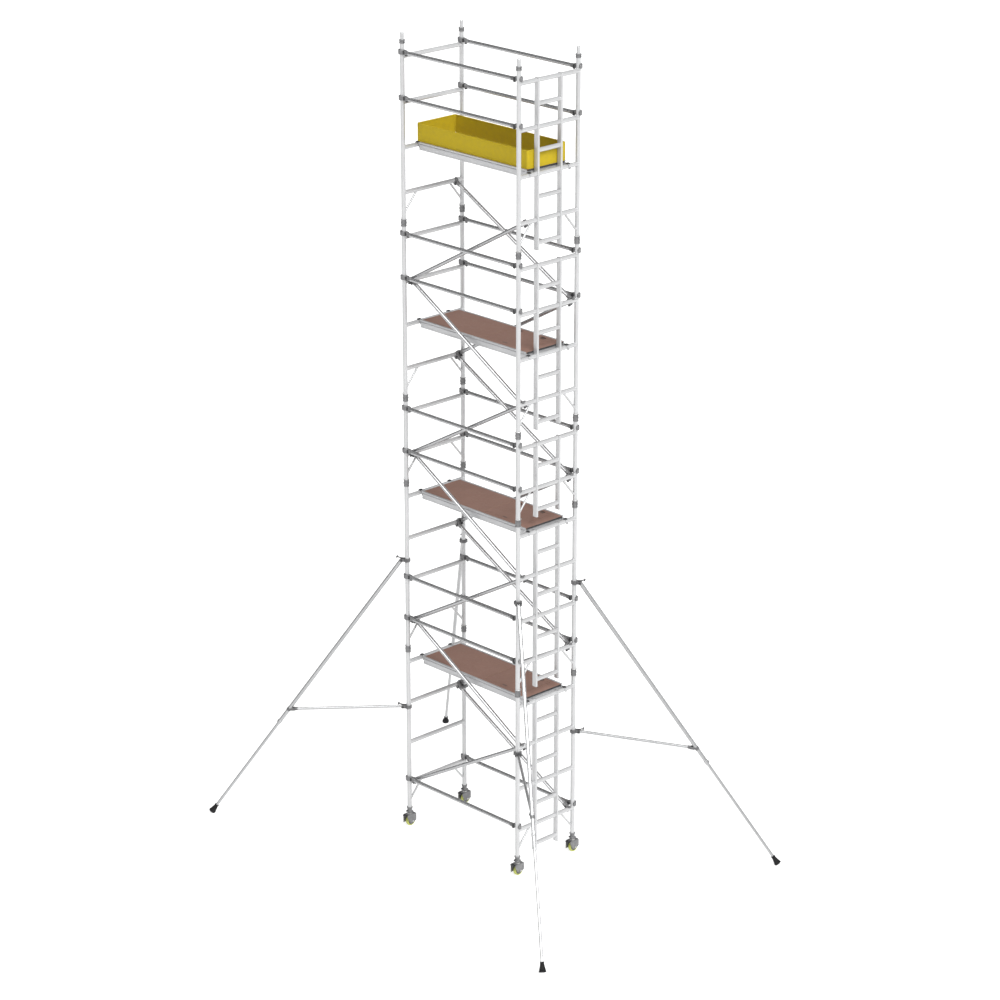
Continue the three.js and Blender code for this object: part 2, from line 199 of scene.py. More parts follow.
def add_studio():
    world = bpy.data.worlds.new("studio")
    world.use_nodes = True
    nodes, links = world.node_tree.nodes, world.node_tree.links
    background = nodes["Background"]
    background.inputs["Color"].default_value = (1, 1, 1, 1)
    # The sky is dimmer beyond the span frames, which is what the level tubes' tops mirror.
    split = nodes.new("ShaderNodeSeparateXYZ")
    links.new(nodes.new("ShaderNodeTexCoord").outputs["Generated"], split.inputs["Vector"])
    sky = nodes.new("ShaderNodeMapRange")
    for name, value in SKY_RAMP.items():
        sky.inputs[name].default_value = value
    links.new(split.outputs["X"], sky.inputs["Value"])
    links.new(sky.outputs["Result"], background.inputs["Strength"])
    bpy.context.scene.world = world
    bpy.context.scene.view_settings.view_transform = "Standard"
    add_sun("key", 75, 45, 3.0, 36)
    add_sun("left_softbox", -5, 49, 1.9, 44, only_glints=True)
    bpy.ops.mesh.primitive_plane_add(size=FLOOR_SIZE)
    floor = bpy.context.object
    floor.name = "floor"
    floor.data.materials.append(floor_material())


# ---- Materials ----
# A colour Mix node's sockets go by number, because its number sockets share their names.
MIX_FACTOR, MIX_FIRST, MIX_SECOND, MIX_RESULT = 0, 6, 7, 2


class Skin:
    """A material under construction: its nodes, and the shader that they feed."""

    def __init__(self, name):
        self.material = bpy.data.materials.new(name)
        self.material.use_nodes = True
        self.nodes = self.material.node_tree.nodes
        self.shader = self.nodes["Principled BSDF"]
        self.coordinates = self.nodes.new("ShaderNodeTexCoord")
        self.place = self.coordinates.outputs["Object"]

    def feed(self, sockets, values):
        """Links each named socket to an output, or sets it to a number or a colour."""
        for name, value in values.items():
            if isinstance(value, bpy.types.NodeSocket):
                self.material.node_tree.links.new(value, sockets[name])
            elif isinstance(value, (int, float)):
                sockets[name].default_value = value
            else:
                sockets[name].default_value = (*value, 1)

    def node(self, kind, values):
        made = self.nodes.new(kind)
        self.feed(made.inputs, values)
        return made

    def noise(self, scale, detail, roughness=0.55):
        return self.node("ShaderNodeTexNoise", {
            "Scale": scale, "Detail": detail, "Roughness": roughness, "Vector": self.place,
        }).outputs["Fac"]

    def ramp(self, source, low, high):
        """A grey ramp between two (place, grey) stops."""
        ramp = self.node("ShaderNodeValToRGB", {"Fac": source})
        for element, (place, grey) in zip(ramp.color_ramp.elements, (low, high)):
            element.position = place
            element.color = (grey, grey, grey, 1)
        return ramp.outputs["Color"]

    def bump(self, height, strength, distance):
        return self.node("ShaderNodeBump", {
            "Height": height, "Strength": strength, "Distance": distance,
        }).outputs["Normal"]

    def mix(self, factor, first, second):
        """A blend of two colours or colour outputs."""
        mix = self.nodes.new("ShaderNodeMix")
        mix.data_type = "RGBA"
        self.feed(mix.inputs, {MIX_FACTOR: factor, MIX_FIRST: first, MIX_SECOND: second})
        return mix.outputs[MIX_RESULT]

    def finished(self, values):
        self.feed(self.shader.inputs, values)
        return self.material


def scaled(colour, factor):
    return tuple(channel * factor for channel in colour)


def metal_material(name, colour, roughness, metallic, smudge=0.9):
    """Satin metal with faint oxide clouds, a fine grain and a few handling scuffs."""
    skin = Skin(name)
    clouds = skin.ramp(skin.noise(3.5, 5), (0.3, 0), (0.7, 1))
    scuffs = skin.noise(38, 6, 0.7)
    tone = skin.mix(clouds, scaled(colour, smudge), colour)
    scuffed = skin.ramp(scuffs, (0.62, 0), (0.74, 1))
    return skin.finished({
        "Base Color": skin.mix(scuffed, tone, scaled(colour, 0.8)),
        "Roughness": skin.ramp(scuffs, (0.3, roughness - 0.06), (0.75, roughness + 0.14)),
        "Metallic": metallic,
        "Normal": skin.bump(skin.noise(520, 3), 0.12, 0.0004),
    })


def moulded_material(name, colour, roughness, worn, metallic=0.0, grain=260, gloss=0.5):
    """A cast or moulded skin: fine pitting, uneven gloss and a worn tone in patches."""
    skin = Skin(name)
    patches = skin.ramp(skin.noise(22, 6, 0.65), (0.42, 0), (0.72, 1))
    pits = skin.noise(grain, 4)
    return skin.finished({
        "Base Color": skin.mix(patches, colour, worn),
        "Roughness": skin.ramp(pits, (0.3, roughness - 0.08), (0.7, roughness + 0.1)),
        "Metallic": metallic,
        "Specular IOR Level": gloss,
        "Normal": skin.bump(pits, 0.25, 0.0008),
    })


def plywood_material():
    """Brown phenolic film with a raised anti-slip mesh. The cut edges show the plies."""
    skin = Skin("phenolic_plywood")
    wear = skin.noise(26, 8, 0.7)
    tone = skin.mix(skin.noise(5, 6, 0.6), (0.205, 0.110, 0.082), (0.275, 0.158, 0.122))
    film = skin.mix(skin.ramp(wear, (0.55, 0), (0.8, 1)), tone, (0.32, 0.2, 0.16))
    mesh = skin.node("ShaderNodeTexVoronoi", {
        "Scale": 210, "Randomness": 0.15, "Vector": skin.place,
    })
    plies = skin.node("ShaderNodeTexWave", {"Scale": 155, "Distortion": 1.2, "Vector": skin.place})
    plies.bands_direction = "Z"
    edge = skin.mix(plies.outputs["Fac"], (0.42, 0.27, 0.15), (0.2, 0.115, 0.062))
    split = skin.node("ShaderNodeSeparateXYZ", {"Vector": skin.coordinates.outputs["Normal"]})
    upright = skin.node("ShaderNodeMath", {0: split.outputs["Z"]})
    upright.operation = "ABSOLUTE"
    flat = skin.ramp(upright.outputs[0], (0.35, 0), (0.55, 1))
    return skin.finished({
        "Base Color": skin.mix(flat, edge, film),
        "Roughness": skin.ramp(wear, (0.3, 0.5), (0.75, 0.78)),
        "Normal": skin.bump(mesh.outputs["Distance"], 0.35, 0.0006),
    })


def floor_material():
    skin = Skin("pale_floor")
    return skin.finished({
        "Base Color": skin.mix(skin.noise(0.4, 3), (0.54, 0.54, 0.54), (0.56, 0.56, 0.56)),
        "Roughness": 0.9,
        "Specular IOR Level": 0.1,
        "Emission Color": (1, 1, 1),
        "Emission Strength": 0.7,
    })


FRAME_METAL = metal_material("frame_aluminium", (0.53, 0.533, 0.538), 0.34, 0.45)
BRACE_METAL = metal_material("brace_aluminium", (0.42, 0.423, 0.43), 0.25, 0.9)
LEG_METAL = metal_material("stabiliser_aluminium", (0.44, 0.443, 0.448), 0.28, 0.85)
BEAM_METAL = metal_material("deck_aluminium", (0.5, 0.502, 0.51), 0.4, 0.4)
STEEL = metal_material("zinc_steel", (0.62, 0.62, 0.61), 0.3, 0.7, 0.8)
CAST = moulded_material("cast_alloy", (0.15, 0.15, 0.155), 0.42, (0.23, 0.23, 0.23), 0.35)
DARK_CAST = moulded_material("dark_cast_alloy", (0.1, 0.1, 0.104), 0.42, (0.17, 0.17, 0.17), 0.3)
BLACK = moulded_material("black_nylon", (0.018, 0.018, 0.02), 0.5, (0.045, 0.045, 0.045))
RUBBER = moulded_material(
    "boot_rubber", (0.006, 0.006, 0.007), 0.7, (0.018, 0.018, 0.018), grain=180, gloss=0.15
)
TYRE = moulded_material(
    "tyre_polyurethane", (0.40, 0.43, 0.09), 0.5, (0.3, 0.32, 0.12), grain=120, gloss=0.3
)
YELLOW = moulded_material(
    "toe_board_yellow", (0.45, 0.335, 0.014), 0.6, (0.4, 0.3, 0.02), grain=90, gloss=0.12
)
BROWN = moulded_material("brown_fittings", (0.11, 0.07, 0.055), 0.5, (0.15, 0.1, 0.08))
PLYWOOD = plywood_material()


# ---- Shapes: rings of points, skinned into closed surfaces ----
def circle(radius, segments=24):
    step = 2 * math.pi / segments
    return [(radius * math.cos(i * step), radius * math.sin(i * step)) for i in range(segments)]


def rounded_box(half_a, half_b, radius, steps=3):
    """A rectangle's outline with round corners, anticlockwise."""
    points = []
    corners = [(1, 1), (-1, 1), (-1, -1), (1, -1)]
    for quarter, (a, b) in enumerate(corners):
        for step in range(steps + 1):
            angle = (quarter + step / steps) * math.pi / 2
            points.append((
                a * (half_a - radius) + radius * math.cos(angle),
                b * (half_b - radius) + radius * math.sin(angle),
            ))
    return points


def arc(radius, start, end, steps):
    """Points on an arc about the origin, with angles in degrees."""
    angles = [math.radians(start + (end - start) * i / steps) for i in range(steps + 1)]
    return [(radius * math.cos(angle), radius * math.sin(angle)) for angle in angles]


def inset(outline, distance):
    """The outline moved inwards by about that distance."""
    moved = []
    for i, here in enumerate(outline):
        before = Vector(outline[i - 1])
        after = Vector(outline[(i + 1) % len(outline)])
        edge_in = (Vector(here) - before).normalized()
        edge_out = (after - Vector(here)).normalized()
        normal = Vector((-(edge_in.y + edge_out.y), edge_in.x + edge_out.x)).normalized()
        moved.append(tuple(Vector(here) + normal * distance))
    return moved


class Shape:
    """A mesh under construction. Parts are added in the place that `at` holds."""

    def __init__(self, at=None):
        self.points = []
        self.faces = []
        self.at = at or Matrix()

    def skin(self, rings, closed=False):
        """Joins rings of points. Open skins are capped, and closed ones meet their own start."""
        first = len(self.points)
        count = len(rings[0])
        for ring in rings:
            self.points.extend(self.at @ Vector(point) for point in ring)
        last = len(rings) if closed else len(rings) - 1
        for row in range(last):
            here = first + row * count
            there = first + (row + 1) % len(rings) * count
            for i in range(count):
                j = (i + 1) % count
                self.faces.append((here + i, here + j, there + j, there + i))
        if not closed:
            self.faces.append(tuple(range(first + count - 1, first - 1, -1)))
            end = first + (len(rings) - 1) * count
            self.faces.append(tuple(range(end, end + count)))

    def turned(self, profile, start=(0, 0, 0), direction=Z_AXIS, segments=24, hollow=False):
        """A turned part. The profile holds (distance along the axis, radius) pairs."""
        turn = Vector(direction).to_track_quat("Z", "Y").to_matrix()
        origin = Vector(start)
        self.skin([
            [origin + turn @ Vector((a, b, along)) for a, b in circle(radius, segments)]
            for along, radius in profile
        ], hollow)

    def bar(self, start, end, radius, segments=24, chamfer=0.0012):
        start, end = Vector(start), Vector(end)
        length = (end - start).length
        small = radius - chamfer
        profile = [(0, small), (chamfer, radius), (length - chamfer, radius), (length, small)]
        self.turned(profile, start, end - start, segments)

    def pipe(self, start, end, radius, bore, segments=28):
        start, end = Vector(start), Vector(end)
        length = (end - start).length
        edge = 0.0006
        self.turned([
            (0, bore), (0, radius - edge), (edge, radius),
            (length - edge, radius), (length, radius - edge), (length, bore),
        ], start, end - start, segments, hollow=True)

    def coped_bar(self, start, end, radius, first, second, segments=24, weld=0.003):
        """A bar between two surfaces, shaped to each, with a weld bead round each end.

        A surface is ("round", axis, radius) about the bar's end point, or ("flat", distance).
        """
        start, end = Vector(start), Vector(end)
        direction = (end - start).normalized()
        turn = direction.to_track_quat("Z", "Y").to_matrix()
        offsets = [turn @ Vector((a, b, 0)) for a, b in circle(radius, segments)]
        rings = []
        for centre, along, surface in ((start, direction, first), (end, -direction, second)):
            rings.append([
                centre + offset + along * reach_to(offset, along, surface) for offset in offsets
            ])
        self.skin(rings)
        for ring, centre in zip(rings, (start, end)):
            self.bead(ring, weld)

    def bead(self, ring, radius, sides=6):
        """A round bead that follows a closed ring of points."""
        middle = sum(ring, Vector()) / len(ring)
        rings = []
        for i, point in enumerate(ring):
            tangent = (ring[(i + 1) % len(ring)] - ring[i - 1]).normalized()
            outward = point - middle
            outward = (outward - tangent * outward.dot(tangent)).normalized()
            across = tangent.cross(outward)
            rings.append([
                point + outward * a + across * b for a, b in circle(radius, sides)
            ])
        self.skin(rings, closed=True)

    def plate(self, outline, low, high, chamfer):
        """An outline in XY, extruded along Z from low to high."""
        small = inset(outline, chamfer)
        levels = [(small, low), (outline, low + chamfer), (outline, high - chamfer), (small, high)]
        self.skin([[(a, b, z) for a, b in points] for points, z in levels])

    def block(self, low, high, radius=0.002, chamfer=0.001):
        low, high = Vector(low), Vector(high)
        middle, half = (low + high) / 2, (high - low) / 2
        radius = min(radius, half.x * 0.9, half.y * 0.9)
        outline = rounded_box(half.x, half.y, radius)
        outline = [(a + middle.x, b + middle.y) for a, b in outline]
        self.plate(outline, low.z, high.z, min(chamfer, half.z * 0.5))

    def band(self, path, thick, height, radius, ends=(1, 1), crown=0.0, within=Matrix()):
        """A flat strap on edge: it follows a path in XY, and its height runs along Z.

        ends scale the height at the two ends, which are rounded off over one ease length,
        crown bulges the outer face, and within moves or turns the strap.
        """
        section = rounded_box(thick / 2, height / 2, radius)
        path = [Vector(point) for point in path]
        travel = [0.0]
        for here, there in zip(path, path[1:]):
            travel.append(travel[-1] + (there - here).length)
        ease = min(height * 0.45, travel[-1] * 0.3)
        rings = []
        for i, here in enumerate(path):
            tangent = path[min(i + 1, len(path) - 1)] - path[max(i - 1, 0)]
            tangent.normalize()
            outward = Vector((-tangent.y, tangent.x))
            fade = 1
            for scale, gone in ((ends[0], travel[i]), (ends[1], travel[-1] - travel[i])):
                left = max(0, 1 - gone / ease)
                fade *= scale + (1 - scale) * math.sqrt(1 - left * left)
            ring = []
            for a, b in section:
                bulge = crown * (1 - (2 * b / height) ** 2) if a > 0 else 0
                step = outward * (a + bulge)
                ring.append((here.x + step.x, here.y + step.y, b * fade))
            rings.append(ring)
        place = self.at
        self.at = place @ within
        self.skin(rings)
        self.at = place

    def rod(self, path, radius, segments=8):
        """A bent round rod through a list of points."""
        points = [Vector(point) for point in path]
        rings = []
        side = None
        for i, point in enumerate(points):
            tangent = points[min(i + 1, len(points) - 1)] - points[max(i - 1, 0)]
            tangent.normalize()
            if side is None:
                side = tangent.orthogonal().normalized()
            side = (side - tangent * side.dot(tangent)).normalized()
            across = tangent.cross(side)
            rings.append([point + side * a + across * b for a, b in circle(radius, segments)])
        self.skin(rings)


def reach_to(offset, along, surface):
    """How far a line that starts `offset` from a surface's centre goes before it meets it."""
    if surface[0] == "flat":
        return surface[1]
    _, axis, radius = surface
    flat_offset = offset - axis * offset.dot(axis)
    flat_along = along - axis * along.dot(axis)
    a = flat_along.length_squared
    b = flat_offset.dot(flat_along)
    c = flat_offset.length_squared - radius * radius
    return (-b + math.sqrt(max(b * b - a * c, 0))) / a


SHARP_ANGLE = math.radians(32)


def piece(name, shape, body, material, replaces=()):
    """Turns a shape into one piece of the object, which rides on a body."""
    mesh = bpy.data.meshes.new(name)
    mesh.from_pydata(shape.points, [], shape.faces)
    build = bmesh.new()
    build.from_mesh(mesh)
    bmesh.ops.recalc_face_normals(build, faces=build.faces)
    build.to_mesh(mesh)
    build.free()
    mesh.polygons.foreach_set("use_smooth", [True] * len(mesh.polygons))
    mesh.set_sharp_from_angle(angle=SHARP_ANGLE)
    mesh.materials.append(material)
    made = bpy.data.objects.new(name, mesh)
    bpy.context.scene.collection.objects.link(made)
    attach(made, body)
    if replaces:
        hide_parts(*replaces)


def at(x, y, z, turn=0.0):
    """A place, turned about Z."""
    return Matrix.Translation((x, y, z)) @ Matrix.Rotation(turn, 4, "Z")


ON_EDGE = Matrix.Rotation(math.pi / 2, 4, "X")


# ---- End frames ----
# What a welded tube's end is shaped to. It bites a little way into the surface that it meets.
ROUND_BITE = 0.0012
FLAT_BITE = 0.0008
TO_POST = ("round", Z_AXIS, POST_RADIUS - ROUND_BITE)
TO_RUNG = ("round", Y_AXIS, RUNG_RADIUS - ROUND_BITE)
TO_STILE = ("flat", STILE_SIZE[1] / 2 - FLAT_BITE)


def add_post(shape, side, height):
    y = side * HALF_WIDTH
    shape.pipe((0, y, 0), (0, y, height - 0.0004), POST_RADIUS, POST_BORE)
    joint, tip = SPIGOT_INSIDE, SPIGOT_LENGTH + SPIGOT_INSIDE
    shape.turned([
        (0, 0.019), (0.002, SPIGOT_RADIUS), (joint - 0.012, SPIGOT_RADIUS),
        (joint - 0.010, POST_BORE), (joint - 0.004, POST_BORE), (joint - 0.002, SPIGOT_RADIUS),
        (tip - 0.016, SPIGOT_RADIUS), (tip - 0.008, 0.0193), (tip - 0.003, 0.0162),
        (tip - 0.0006, 0.0125), (tip, 0.009),
    ], (0, y, height - joint))
    knee_foot = (0, y, FIRST_RUNG - KNEE_DROP)
    knee_top = (0, y - side * KNEE_REACH, FIRST_RUNG)
    shape.coped_bar(knee_foot, knee_top, KNEE_RADIUS, TO_POST, TO_RUNG, 16, 0.0022)


def add_ladder(shape, top_rung):
    half_x, half_y = STILE_SIZE[0] / 2, STILE_SIZE[1] / 2
    outline = rounded_box(half_x, half_y, 0.0035)
    for y in (-STILE_Y, STILE_Y):
        moved = [(a, y + b) for a, b in outline]
        shape.plate(moved, 0.008, top_rung + 0.025, 0.0012)
    z = FIRST_RUNG - LADDER_PITCH
    while z < top_rung:
        start, end = (0, -STILE_Y, z), (0, STILE_Y, z)
        shape.coped_bar(start, end, RUNG_RADIUS, TO_STILE, TO_STILE)
        z += 2 * LADDER_PITCH


def add_end_frame(end_name, lift, height, base):
    place = at(ENDS[end_name] * HALF_LENGTH, 0, base)
    tubes = Shape(place)
    for side in (-1, 1):
        add_post(tubes, side, height)
    rungs = round(height / RUNG_PITCH)
    for rung in range(rungs):
        z = FIRST_RUNG + rung * RUNG_PITCH
        start, end = (0, -HALF_WIDTH, z), (0, HALF_WIDTH, z)
        tubes.coped_bar(start, end, RUNG_RADIUS, TO_POST, TO_POST)
    if end_name == "ladder":
        add_ladder(tubes, FIRST_RUNG + (rungs - 1) * RUNG_PITCH)
    name = f"{end_name}_frame_{lift}"
    piece(f"{name}_tubes", tubes, "tower", FRAME_METAL, [name])
    collars = Shape(place)
    for side in (-1, 1):
        y = side * HALF_WIDTH
        raised = TOP_COLLAR_RISE if lift == len(LIFTS) else 0
        add_collar(collars, y, height - 0.0006 + raised, -1)
        if lift > 1:
            add_collar(collars, y, 0.0002, 1)
    piece(f"{name}_collars", collars, "tower", CAST)


def add_collar(shape, y, joint, up):
    """A cast sleeve that reaches 38 mm from the joint: a flange at each end and a waist."""
    bore = POST_RADIUS + 0.0003
    profile = [
        (0.0, bore), (0.0, 0.0325), (0.0012, 0.0335), (0.007, 0.0335), (0.009, 0.0305),
        (0.016, 0.0295), (0.024, 0.0295), (0.029, 0.0305), (0.031, 0.0328), (0.0365, 0.0328),
        (0.038, 0.0315), (0.038, bore),
    ]
    shape.turned(profile, (0, y, joint), (0, 0, up), 28, hollow=True)
    low, high = sorted((joint + up * 0.010, joint + up * 0.029))
    for x in (0.0335, -0.0335):
        shape.block((x - 0.0035, y - 0.007, low), (x + 0.0035, y + 0.007, high), 0.002)


def add_frames():
    base = FRAME_BASE
    for lift, height in enumerate(LIFTS, 1):
        for end_name in ENDS:
            add_end_frame(end_name, lift, height, base)
        base += height
    joint = FRAME_BASE
    for level, height in enumerate(LIFTS[:-1], 1):
        joint += height
        clips = Shape()
        for x_side, y_side in CORNERS.values():
            clips.at = at(x_side * HALF_LENGTH, y_side * HALF_WIDTH, joint)
            add_interlock_clip(clips, x_side)
        piece(f"interlock_clips_{level}", clips, "tower", STEEL)


def add_interlock_clip(shape, x_side):
    """A sprung wire clip over the joint: a loop round the post, and a pin at each of its ends."""
    radius = 0.0375
    path = [(-x_side * a, b, CLIP_RISE) for a, b in arc(radius, 90, 270, 12)]
    path.append((0, -radius + 0.012, CLIP_RISE))
    shape.rod(path, 0.0024)
    shape.rod([(0, radius, CLIP_RISE), (0, radius - 0.014, CLIP_RISE)], 0.0024)


# ---- Clip-on braces ----
def add_claw(shape):
    """A cast jaw round an upright post at the origin, open towards +Y. The tube leaves along +X."""
    reach = 0.0352
    tip = [(-reach, 0.02 * (i / 8)) for i in range(1, 9)]
    path = [(reach, 0.02), (reach, 0.01)] + arc(reach, 0, -180, 16) + tip
    raised = Matrix.Translation((0, 0, CLAW_RISE))
    shape.band(path, 0.0146, 0.052, 0.0055, (0.8, 0.25), 0.0018, raised)
    shape.block((0.034, -0.0185, -0.0175), (0.066, 0.0185, 0.0265), 0.005, 0.004)
    shape.turned([
        (0, 0.020), (0.004, 0.0242), (0.012, 0.0242), (0.016, 0.0232), (0.042, 0.0226),
        (0.045, 0.0205),
    ], (0.06, 0, 0), X_AXIS)
    for side in (-1, 1):
        shape.turned([(0, 0.004), (0.0015, 0.0036), (0.0026, 0.002)],
                     (0.092, side * 0.0222, 0), (0, side, 0), 12)


def add_claw_latch(shape):
    """The sprung black trigger that shuts the jaw's mouth."""
    shape.block((0.0375, -0.0265, -0.0165), (0.0555, 0.0265, 0.024), 0.003, 0.002)
    shape.block((0.0445, 0.013, -0.0185), (0.0535, 0.031, 0.018), 0.003, 0.002)
    shape.block((0.052, -0.01, -0.0335), (0.078, 0.01, -0.023), 0.003, 0.002)


def add_level_brace(side_name, rung, nodes):
    y = SIDES[side_name] * HALF_WIDTH
    z = rung_height(rung) + BRACE_OVER_RUNG
    tube, claws, latches = Shape(), Shape(), Shape()
    tube_end = HALF_LENGTH - LEVEL_TUBE_START
    tube.bar((-tube_end, y, z), (tube_end, y, z), BRACE_RADIUS, 28)
    for end, turn in ((-1, 0), (1, math.pi)):
        claws.at = at(end * HALF_LENGTH, y, z, turn)
        latches.at = claws.at
        add_claw(claws)
        add_claw_latch(latches)
    name = f"level_brace_{side_name}_{rung}"
    piece(f"{name}_tube", tube, "tower", BRACE_METAL, nodes)
    piece(f"{name}_claws", claws, "tower", CAST)
    piece(f"{name}_latches", latches, "tower", BLACK)


def add_rung_hook(shape):
    """A cast jaw round a rung along Y at the origin. The tube leaves along +X."""
    shape.band(arc(0.0313, 112, -112, 18), 0.0104, 0.0376, 0.004, (0.6, 0.6), within=ON_EDGE)
    shape.block((0.0295, -0.0165, -0.021), (0.054, 0.0165, 0.021), 0.005, 0.003)
    shape.turned([
        (0, 0.0185), (0.004, 0.0238), (0.012, 0.0240), (0.016, 0.0232), (0.040, 0.0226),
        (0.043, 0.0205),
    ], (0.048, 0, 0), X_AXIS)


def add_hook_latch(shape):
    """The black lever under the hook, its pivot block and its spring case."""
    shape.block((-0.012, -0.015, -0.041), (0.03, 0.015, -0.035), 0.003, 0.0015)
    shape.block((0.03, -0.0205, -0.012), (0.046, 0.0205, 0.012), 0.003, 0.002)
    shape.block((0.02, -0.012, -0.0465), (0.036, 0.012, -0.022), 0.003, 0.002)


def add_diagonal(side_name, start_end, rung, nodes):
    """A sloping brace that climbs two rungs from one end frame to the other."""
    side = SIDES[side_name]
    low = Vector((start_end * HALF_LENGTH, side * LOW_HOOK_Y, rung_height(rung)))
    high = Vector((-start_end * HALF_LENGTH, side * HIGH_HOOK_Y, rung_height(rung + 2)))
    along = (high - low).normalized()
    tube, hooks, latches = Shape(), Shape(), Shape()
    back = along * SLOPING_TUBE_START
    tube.bar(low + back, high - back, BRACE_RADIUS, 28)
    for centre, towards in ((low, along), (high, -along)):
        level = Vector((towards.x, 0, towards.z)).normalized()
        across = Y_AXIS * math.copysign(1, towards.x)
        turn = Matrix((level, across, level.cross(across))).transposed().to_4x4()
        hooks.at = Matrix.Translation(centre) @ turn
        latches.at = hooks.at
        add_rung_hook(hooks)
        add_hook_latch(latches)
    name = f"diagonal_brace_{side_name}_{rung}"
    piece(f"{name}_tube", tube, "tower", BRACE_METAL, nodes)
    piece(f"{name}_hooks", hooks, "tower", CAST)
    piece(f"{name}_latches", latches, "tower", BLACK)


def add_braces():
    for side_name, side in SIDES.items():
        for level, (first_rung, diagonals) in BRACED_RUNGS.items():
            nodes = [f"brace_set_{side_name}_{level}"]
            for step in range(diagonals):
                rung = first_rung + 2 * step
                end = side * (-1) ** step
                add_diagonal(side_name, end, rung, nodes)
                if step % 2 == 0:
                    add_level_brace(side_name, rung, nodes)
        for rung in GUARD_RUNGS:
            add_level_brace(side_name, rung, [f"level_brace_{side_name}_{rung}"])


# ---- Decks ----
def beam_outline():
    """A side beam's section, outer face towards +X: a lip, a slot and a foot flange."""
    width, height = BEAM_WIDTH, BEAM_HEIGHT
    top = DECK_TOP
    foot = top - height
    return [
        (0, foot), (width - 0.001, foot), (width, foot + 0.001), (width, foot + 0.011),
        (width - 0.004, foot + 0.014), (width - 0.004, top - 0.030), (width, top - 0.028),
        (width, top - 0.023), (width - 0.009, top - 0.022), (width - 0.009, top - 0.014),
        (width, top - 0.013), (width, top - 0.001), (width - 0.001, top), (0.003, top),
        (0.002, top - 0.0004), (0.002, top - PLY_THICK), (0, top - PLY_THICK - 0.001),
    ]


def along_x(side):
    """Lays a section drawn in XY along X: its x runs outwards along side * Y, and its y up."""
    return Matrix(((0, 0, 1, 0), (side, 0, 0, 0), (0, 1, 0, 0), (0, 0, 0, 1)))


def add_deck(index, rung):
    place = at(0, 0, rung_height(rung))
    name = f"deck_{index}"
    add_deck_ply(name, place)
    rails = Shape()
    for side in (-1, 1):
        rails.at = place @ Matrix.Translation((0, side * BEAM_INSIDE, 0)) @ along_x(side)
        rails.plate(beam_outline(), DECK_X[0], BEAM_END, 0.0006)
    rails.at = place
    under = DECK_TOP - PLY_THICK
    half = CROSS_BAR_HALF
    crossings = [
        DECK_X[0] + half, *CROSS_BARS_X, HATCH_X[0] - half - 0.002, HATCH_X[1] + half + 0.002,
        BEAM_END - half,
    ]
    for x in crossings:
        low, high = (x - half, -BEAM_INSIDE, under - 0.04), (x + half, BEAM_INSIDE, under - 0.0002)
        rails.block(low, high, 0.003)
    for y in (-HATCH_HALF_WIDTH - 0.006, HATCH_HALF_WIDTH + 0.006):
        rails.block((HATCH_X[0], y - 0.004, under - 0.03), (HATCH_X[1], y + 0.004, under), 0.002)
    caps, clips = Shape(), Shape()
    for end, root, hook_y in ((-1, -0.121, SPAN_HOOK_Y), (1, -0.048, LADDER_HOOK_Y)):
        mirror = Matrix.Diagonal((end, 1, 1, 1))
        for side in (-1, 1):
            over_rung = Matrix.Translation((end * HALF_LENGTH, side * hook_y, 0))
            rails.at = caps.at = place @ over_rung @ mirror
            add_deck_hook(rails, caps, root)
        for y in WINDLOCKS_Y:
            clips.at = place @ Matrix.Translation((end * HALF_LENGTH, y, 0)) @ mirror
            add_windlock(clips, root - 0.012)
    piece(f"{name}_frame", rails, "tower", BEAM_METAL, [name])
    caps.at = place
    low, high = (PLY_END, -BEAM_INSIDE, under - 0.006), (DECK_X[1], BEAM_INSIDE, DECK_TOP - 0.0003)
    caps.block(low, high, 0.001, 0.0008)
    piece(f"{name}_hook_caps", caps, "tower", BLACK)
    piece(f"{name}_windlocks", clips, "tower", CAST)
    add_trapdoor(index, place)


def add_deck_ply(name, place):
    """The panel: a closed skin that runs over its edges and round the inside of the hatch."""
    ply = Shape(place)
    side = BEAM_INSIDE + 0.0012
    low, high = DECK_TOP - PLY_THICK, DECK_TOP - 0.0005
    rim = 0.0006
    levels = [(rim, low), (0, low + rim), (0, high - rim), (rim, high)]
    rings = [
        panel_ring(DECK_X[0] + shrink, PLY_END - shrink, side - shrink, z) for shrink, z in levels
    ]
    rings += [hatch_ring(grow, z) for grow, z in reversed(levels)]
    ply.skin(rings, closed=True)
    piece(f"{name}_plywood", ply, "tower", PLYWOOD)


def panel_ring(start, end, half_y, z):
    """The panel's edge: its corners, and the points level with the hatch's corners."""
    x0, x1 = HATCH_X
    y = HATCH_HALF_WIDTH
    return [
        (start, -half_y, z), (x0, -half_y, z), (x1, -half_y, z), (end, -half_y, z),
        (end, -y, z), (end, y, z), (end, half_y, z), (x1, half_y, z),
        (x0, half_y, z), (start, half_y, z), (start, y, z), (start, -y, z),
    ]


def hatch_ring(grow, z):
    """The hatch's edge, with as many points as the panel's own edge."""
    x0, x1 = HATCH_X[0] - grow, HATCH_X[1] + grow
    y = HATCH_HALF_WIDTH + grow
    bit = 0.0006
    return [
        (x0, -y, z), (x0 + bit, -y, z), (x1 - bit, -y, z), (x1, -y, z),
        (x1, bit - y, z), (x1, y - bit, z), (x1, y, z), (x1 - bit, y, z),
        (x0 + bit, y, z), (x0, y, z), (x0, y - bit, z), (x0, bit - y, z),
    ]


